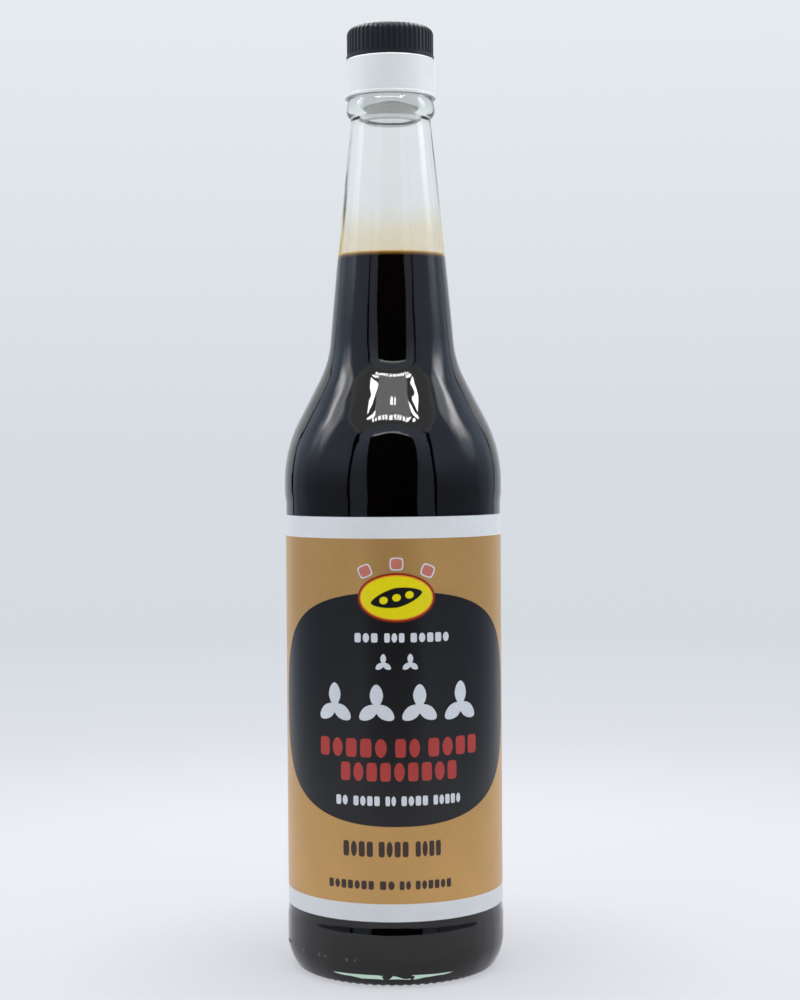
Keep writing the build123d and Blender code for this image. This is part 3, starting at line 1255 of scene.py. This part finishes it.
@dataclass
class WrapLabel:
    """The paper label round the body, with its fields of colour."""

    bottle: GlassBottle
    bottom: float
    top: float
    gap: float = 5.0
    thickness: float = 0.12
    layer_step: float = 0.02
    column_pitch: float = 0.9
    lift: float = 0.6
    clearance: float = 0.01
    segments: int = 240
    paper: Ink = Ink("label_paper", linear(229, 231, 231), 0.45)
    gold: Ink = Ink("gold_ink", linear(207, 161, 97), 0.35, 0.45)
    gold_margin_bottom: float = 5.6
    gold_margin_top: float = 6.65
    gold_margin_end: float = 0.5
    badge: Point = (0.85, 121.0)
    badge_tilt: float = 12.0
    back_panel: Shape = Shape(78.0, 84.0, 17.0, 40.0, 9.0)
    back_row_half: float = 13.5
    back_row_top: float = 118.0
    back_row_pitch: float = 6.4
    back_rows: int = 11

    @property
    def radius(self) -> float:
        """Radius of the paper's outer face."""
        return self.bottle.panel_radius + self.thickness

    def _band(
        self, name: str, inner: float, outer: float, low: float, high: float, gap: float
    ) -> Mesh:
        """Makes a closed band round the body with a gap at the back.

        Args:
            name: The mesh's name.
            inner: Inner radius.
            outer: Outer radius.
            low: Lower edge.
            high: Upper edge.
            gap: Width of the gap at the back.

        Returns:
            The mesh.
        """
        half_gap = gap / 2 / outer
        turn = 2 * math.pi - 2 * half_gap
        run = []
        for i in range(self.segments + 1):
            angle = math.pi / 2 + half_gap + turn * i / self.segments
            section = ((inner, low), (outer, low), (outer, high), (inner, high))
            run.append([polar(r, angle, z) for r, z in section])
        return strips(name, [run])

    def _wrapped(self, name: str, shapes: list[Shape], layer: int) -> Mesh:
        """Makes thin closed layers of the shapes, bent round the body.

        Args:
            name: The mesh's name.
            shapes: The shapes.
            layer: How many layers up from the paper they lie.

        Returns:
            The mesh.
        """
        low = self.radius + (layer - 1) * self.layer_step
        high = self.radius + layer * self.layer_step
        runs = []
        for shape in shapes:
            middle = shape.height + self.lift
            run = []
            for u, bottom, top in shape.columns(self.column_pitch):
                angle = -math.pi / 2 + (shape.across + u) / self.radius
                section = ((low, bottom), (high, bottom), (high, top), (low, top))
                run.append([polar(r, angle, middle + v) for r, v in section])
            runs.append(run)
        return strips(name, runs)

    @staticmethod
    def _leaves() -> list[Shape]:
        """Gives the white sprigs, each of three leaves round a middle.

        Returns:
            The leaves.
        """
        sprigs = [(-19.6, 87.2, 1.0), (-5.6, 87.2, 0.97), (7.9, 87.2, 0.97), (22.0, 87.2, 1.02)]
        sprigs += [(-3.4, 100.6, 0.42), (5.0, 100.6, 0.42)]
        side_reach, rise, length, width, pointed = 3.5, 3.6, 3.6, 2.15, 1.75
        leaves = []
        for across, height, size in sprigs:
            for turn, reach in ((90.0, 1.0), (215.0, 0.9), (325.0, 0.9)):
                angle = math.radians(turn)
                u = across + side_reach * size * reach * math.cos(angle)
                v = height + rise * size * reach * math.sin(angle)
                leaves.append(Shape(u, v, length * size, width * size, pointed, turn))
        return leaves

    def _back_lines(self) -> list[Shape]:
        """Gives the rows of small blocks on the two back panels, of uneven length.

        Returns:
            The blocks.
        """
        lines = []
        for side in (-1, 1):
            middle = side * self.back_panel.across
            for row in range(self.back_rows):
                end = middle + self.back_row_half - (row * 7 % 5) * 1.6
                height = self.back_row_top - row * self.back_row_pitch
                lines += blocks([(middle - self.back_row_half, end)], height, 1.0, 2.3)
        return lines

    def _prints(self) -> list[Print]:
        """Gives the label's inks and shapes, from the paper upwards.

        Returns:
            The prints.
        """
        black = Ink("black_ink", linear(11, 10, 13), 0.34, coat=0.1, shine=0.5)
        white = Ink("white_ink", linear(222, 226, 230), 0.45)
        red = Ink("red_ink", linear(182, 62, 56), 0.4)
        pale_red = Ink("seal_ink", linear(205, 120, 104), 0.4)
        rim = Ink("badge_rim_ink", linear(150, 38, 12), 0.35)
        orange = Ink("badge_ring_ink", linear(238, 150, 40), 0.35)
        yellow = Ink("badge_ink", linear(240, 224, 10), 0.35)
        brown = Ink("brown_ink", linear(62, 44, 36), 0.4)
        white_words = [(-19.5, -14.9), (-13.5, -4.5), (-3.2, 0.5), (1.7, 10.6), (11.9, 21.9)]
        white_rows = blocks([(-12.8, -4.8), (-3.3, 3.5), (4.8, 18.0)], 108.6, 1.45, 2.7)
        white_rows += blocks(white_words, 58.0, 1.5, 2.2)
        red_rows = blocks([(-25.8, -1.9), (-0.4, 8.4), (10.0, 29.0)], 74.4, 2.9, 4.7)
        red_rows += blocks([(-18.0, 20.8)], 67.0, 2.9, 4.4)
        dark_words = [(-22.4, -6.5), (-5.2, 0.0), (1.0, 5.0), (6.0, 18.3)]
        dark_rows = blocks([(-17.1, -6.7), (-5.5, 4.4), (6.0, 14.8)], 43.0, 2.4, 2.5)
        dark_rows += blocks(dark_words, 31.8, 1.35, 2.2)
        seals = [(-9.0, 129.2, 22.0), (0.9, 131.4, 0.0), (10.7, 129.2, -22.0)]
        seal_rims = [Shape(u, v, 2.15, 2.0, 4.0, tilt) for u, v, tilt in seals]
        seal_fields = [Shape(u, v, 1.75, 1.6, 4.0, tilt) for u, v, tilt in seals]
        panels = [replace(self.back_panel, across=s * self.back_panel.across) for s in (-1, 1)]
        u, v = self.badge
        ovals = [[Shape(u, v, *half)] for half in ((12.2, 7.65), (11.55, 7.0), (11.15, 6.6))]
        beans = [
            Shape(u + step * 4.0, v + step * 0.85, 1.35, 1.15, 2.0, self.badge_tilt)
            for step in (-1, 0, 1)
        ]
        return [
            Print("print_field", black, [Shape(1.0, 86.4, 47.7, 36.4, 2.4)], 2),
            Print("print_back_panels", self.paper, panels, 2),
            Print("print_back_rows", brown, self._back_lines(), 3),
            Print("print_white", white, self._leaves() + white_rows, 3),
            Print("print_red", red, red_rows, 3),
            Print("print_dark", brown, dark_rows, 2),
            Print("print_seal_rims", white, seal_rims, 2),
            Print("print_seals", pale_red, seal_fields, 3),
            Print("print_badge_rim", rim, ovals[0], 3),
            Print("print_badge_ring", orange, ovals[1], 4),
            Print("print_badge", yellow, ovals[2], 5),
            Print("print_pod", black, [Shape(u, v, 8.2, 3.0, 1.55, self.badge_tilt)], 6),
            Print("print_beans", yellow, beans, 7),
        ]

    def build(self) -> list[Piece]:
        """Builds the paper, its gold ground and the inks.

        Returns:
            The pieces.
        """
        inner = self.bottle.panel_radius + self.clearance
        band = self._band("label_paper", inner, self.radius, self.bottom, self.top, self.gap)
        paper = dress(band, "label_paper", self.paper.material())
        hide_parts("label")
        gold_low = self.bottom + self.gold_margin_bottom
        gold_high = self.top - self.gold_margin_top
        high = self.radius + self.layer_step
        gap = self.gap + 2 * self.gold_margin_end
        ground = self._band("print_gold", self.radius, high, gold_low, gold_high, gap)
        pieces = [paper, dress(ground, "print_gold", self.gold.material())]
        for item in self._prints():
            mesh = self._wrapped(item.name, item.shapes, item.layer)
            pieces.append(dress(mesh, item.name, item.ink.material(), crease=50.0))
        for piece in pieces:
            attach(piece, ROOT)
        return pieces


# ---- Closure ----


@dataclass
class Closure:
    """The pourer collar and the screw cap, whose frame solids have the right shape."""

    nodes: dict[str, Piece]
    collar_height: float = 12.3
    plug_length: float = 20.1

    def dress(self) -> list[Piece]:
        """Gives both frame solids their finish.

        Returns:
            The two pieces.
        """
        collar_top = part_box("cap")[0][2]
        collar = CollarPlastic(
            collar_bottom=collar_top - self.collar_height * MM,
            plug_bottom=collar_top - self.plug_length * MM,
        )
        black = MouldedPlastic("cap_plastic", (0.008, 0.009, 0.013), 0.42, shine=0.24)
        for name, finish in (("pourer", collar), ("cap", black)):
            piece = self.nodes[name]
            material = finish.material()
            if piece.material_slots:
                for slot in piece.material_slots:
                    slot.material = material
            else:
                piece.data.materials.append(material)
        return [self.nodes["pourer"], self.nodes["cap"]]


# ---- Studio ----


def panel(name: str, quads: list[list[Corner]], glow: Finish) -> None:
    """Makes lit panels that show in reflections but not to the camera.

    Args:
        name: The panels' name.
        quads: The four corners of each, in metres.
        glow: Their light.
    """
    faces = [tuple(range(4 * i, 4 * i + 4)) for i in range(len(quads))]
    mesh = mesh_of(name, [corner for quad in quads for corner in quad], faces)
    piece = dress(mesh, name, glow.material())
    piece.visible_camera = False
    piece.visible_transmission = False


def wall(start: Point, end: Point, low: float, high: float) -> list[Corner]:
    """Gives the corners of an upright wall between two places on the floor."""
    return [(*start, low), (*end, low), (*end, high), (*start, high)]


def sheet(x: Point, y: Point, height: float) -> list[Corner]:
    """Gives the corners of a level rectangle from its x and y ranges."""
    return [(x[0], y[0], height), (x[1], y[0], height), (x[1], y[1], height), (x[0], y[1], height)]


@dataclass
class Studio:
    """The pale floor, the soft light tent and the camera."""

    camera_distance: float = 0.634
    camera_height: float = 0.1659
    focal_share: float = 1.9461
    pitch: float = -1.354
    yaw: float = 0.2031
    roll: float = 0.376
    floor_size: float = 12.0
    half_width: float = 0.4
    front: float = -0.41
    back: float = 0.336
    ceiling: float = 0.62
    corner_gap: float = 0.02
    sill: float = -0.01
    roof_back: float = 0.9
    port: float = 0.205
    port_top: float = 0.5
    port_rim_share: float = 0.9
    port_rim_height: float = 0.025
    front_setback: float = 0.004
    back_setback: float = 0.012
    lamp_half_width: float = 0.195
    lamp_near: float = -0.32
    lamp_far: float = 0.265
    lamp_width: float = 0.018
    lamp_length: float = 0.055
    lamp_side_length: float = 0.066
    lamp_pitch: float = 0.034
    lamp_drop: float = 0.02
    lamp_cloth_gap: float = 0.005
    lamp_near_reach: float = 1.6
    lamp_light: float = 30.0
    sky_band: Point = (0.0, 0.24)
    sky_low: Colour = linear(215, 220, 226)
    sky_high: Colour = linear(231, 236, 240)

    def floor(self) -> None:
        """Lays the floor."""
        half = self.floor_size
        corners = sheet((-half, half), (-half, half), 0.0)
        mesh = mesh_of("studio_floor", corners, [(0, 1, 2, 3)])
        dress(mesh, "studio_floor", StudioSurface().material())

    def sky(self) -> None:
        """Sets the even background behind the floor."""
        world = bpy.data.worlds.new("studio_background")
        bpy.context.scene.world = world
        world.use_nodes = True
        shop = NodeShop(world.node_tree)
        look = shop.node("ShaderNodeTexCoord").outputs["Generated"]
        up = shop.node("ShaderNodeSeparateXYZ", sockets={0: look})
        height = Value(shop, up.outputs[2])
        colour = shop.mix(height.ramp(*self.sky_band), self.sky_low, self.sky_high)
        light = shop.node("ShaderNodeBackground", sockets={"Color": colour, "Strength": 1.0})
        shop.node("ShaderNodeOutputWorld", sockets={"Surface": light.outputs[0]})

    def tent(self) -> None:
        """Stands the lit box round the bottle, with dark corners and an opening in front."""
        w, front, back, top = self.half_width, self.front, self.back, self.ceiling
        gap, port, sill, port_top = self.corner_gap, self.port, self.sill, self.port_top
        near, rear = front - self.front_setback, back + self.back_setback
        flap = LightPanel("front_cloth", 0.34, 0.9, 0.1, 0.5, 2.0, 0.2, (0.86, 1.0, 1.25))
        dark = LightPanel("dark_gap", 0.0, 0.01)
        sides, flaps, gaps = [], [], []
        for x in (-w, w):
            sides.append(wall((x, front + gap), (x, back - gap / 3), sill, top - gap))
            edge = math.copysign(port, x)
            inner = math.copysign(w - gap, x)
            flaps.append(wall((edge, front), (inner, front), sill, port_top))
            outer = math.copysign(w + 2 * gap, x)
            seam = math.copysign(w - gap / 3, x)
            gaps.append(wall((inner - (outer - inner), near), (outer, near), sill, top))
            gaps.append(wall((seam, rear), (outer, rear), sill, top))
        gaps.append(wall((-port, near), (port, near), sill, port_top))
        upper = port_top + self.back_setback
        flaps.append(wall((-w + gap, front), (w - gap, front), upper, top - gap))
        reach = port * self.port_rim_share
        rim = wall((-reach, front), (reach, front), port_top, port_top + self.port_rim_height)
        panel("tent_sides", sides, SideCloth())
        panel("tent_front", flaps, flap)
        panel("tent_port_rim", [rim], LightPanel("rim_light", 4.5, 4.5))
        panel("tent_gaps", gaps, dark)
        roof = LightPanel("roof_cloth", 0.7, 0.7)
        cloth = sheet((-w + gap, w - gap), (front + gap, self.roof_back), top)
        panel("tent_roof", [cloth], roof)

    def lamps(self) -> None:
        """Hangs the square row of small lights under the roof, each a short bar."""
        height = self.ceiling - self.lamp_drop
        half, near, far = self.lamp_half_width, self.lamp_near, self.lamp_far
        thin, long = self.lamp_width / 2, self.lamp_length / 2
        wide = self.lamp_side_length / 2
        quads = []
        across = round(2 * half / self.lamp_pitch)
        for i in range(across + 1):
            x = -half + 2 * half * i / across
            for y, reach in ((near, thin * self.lamp_near_reach), (far, long)):
                quads.append(sheet((x - thin, x + thin), (y - reach, y + reach), height))
        along = round((far - near) / self.lamp_pitch)
        for i in range(1, along):
            y = near + (far - near) * i / along
            for x in (-half, half):
                quads.append(sheet((x - wide, x + wide), (y - thin, y + thin), height))
        inside = half - wide
        glow = LightPanel("lamp_cloth", 2.9, 2.9)
        cloth = sheet((-inside, inside), (near, far), height + self.lamp_cloth_gap)
        panel("lamp_cloth", [cloth], glow)
        panel("lamp_rows", quads, LightPanel("lamp_light", self.lamp_light, self.lamp_light))

    def camera(self) -> None:
        """Sets the camera."""
        data = bpy.data.cameras.new("studio_camera")
        data.sensor_width = 36.0
        data.lens = data.sensor_width * self.focal_share
        pitch, yaw, roll = (math.radians(a) for a in (self.pitch, self.yaw, self.roll))
        forward = Vector(
            (math.sin(yaw) * math.cos(pitch), math.cos(yaw) * math.cos(pitch), math.sin(pitch))
        )
        right = forward.cross(Vector((0, 0, 1))).normalized()
        level_up = right.cross(forward).normalized()
        up = level_up * math.cos(roll) + right * math.sin(roll)
        right = forward.cross(up).normalized()
        turn = Matrix((right, up, -forward)).transposed().to_4x4()
        camera = bpy.data.objects.new("studio_camera", data)
        place = Matrix.Translation((0.0, -self.camera_distance, self.camera_height))
        camera.matrix_world = place @ turn
        bpy.context.scene.collection.objects.link(camera)
        bpy.context.scene.camera = camera

    def build(self) -> None:
        """Builds the studio."""
        self.floor()
        self.sky()
        self.tent()
        self.lamps()
        self.camera()
        bpy.context.scene.view_settings.view_transform = "Standard"


def main() -> None:
    """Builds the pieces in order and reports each."""
    logging.basicConfig(level=logging.INFO)
    Studio().build()
    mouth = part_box("bottle")[1][2] / MM
    sauce_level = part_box("soy_sauce")[1][2] / MM
    low, high = (corner[2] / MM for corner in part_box("label"))
    bottle = GlassBottle(GlassSizes(), mouth)
    sauce = Sauce(bottle, sauce_level)
    pieces = [bottle.build(), bottle.dots(), sauce.body(), sauce.film()]
    pieces += WrapLabel(bottle, low, high).build()
    pieces += Closure(frame["nodes"]).dress()
    for piece in pieces:
        log.info("%s: %d faces", piece.name, len(piece.data.polygons))


if __name__ == "__main__":
    main()
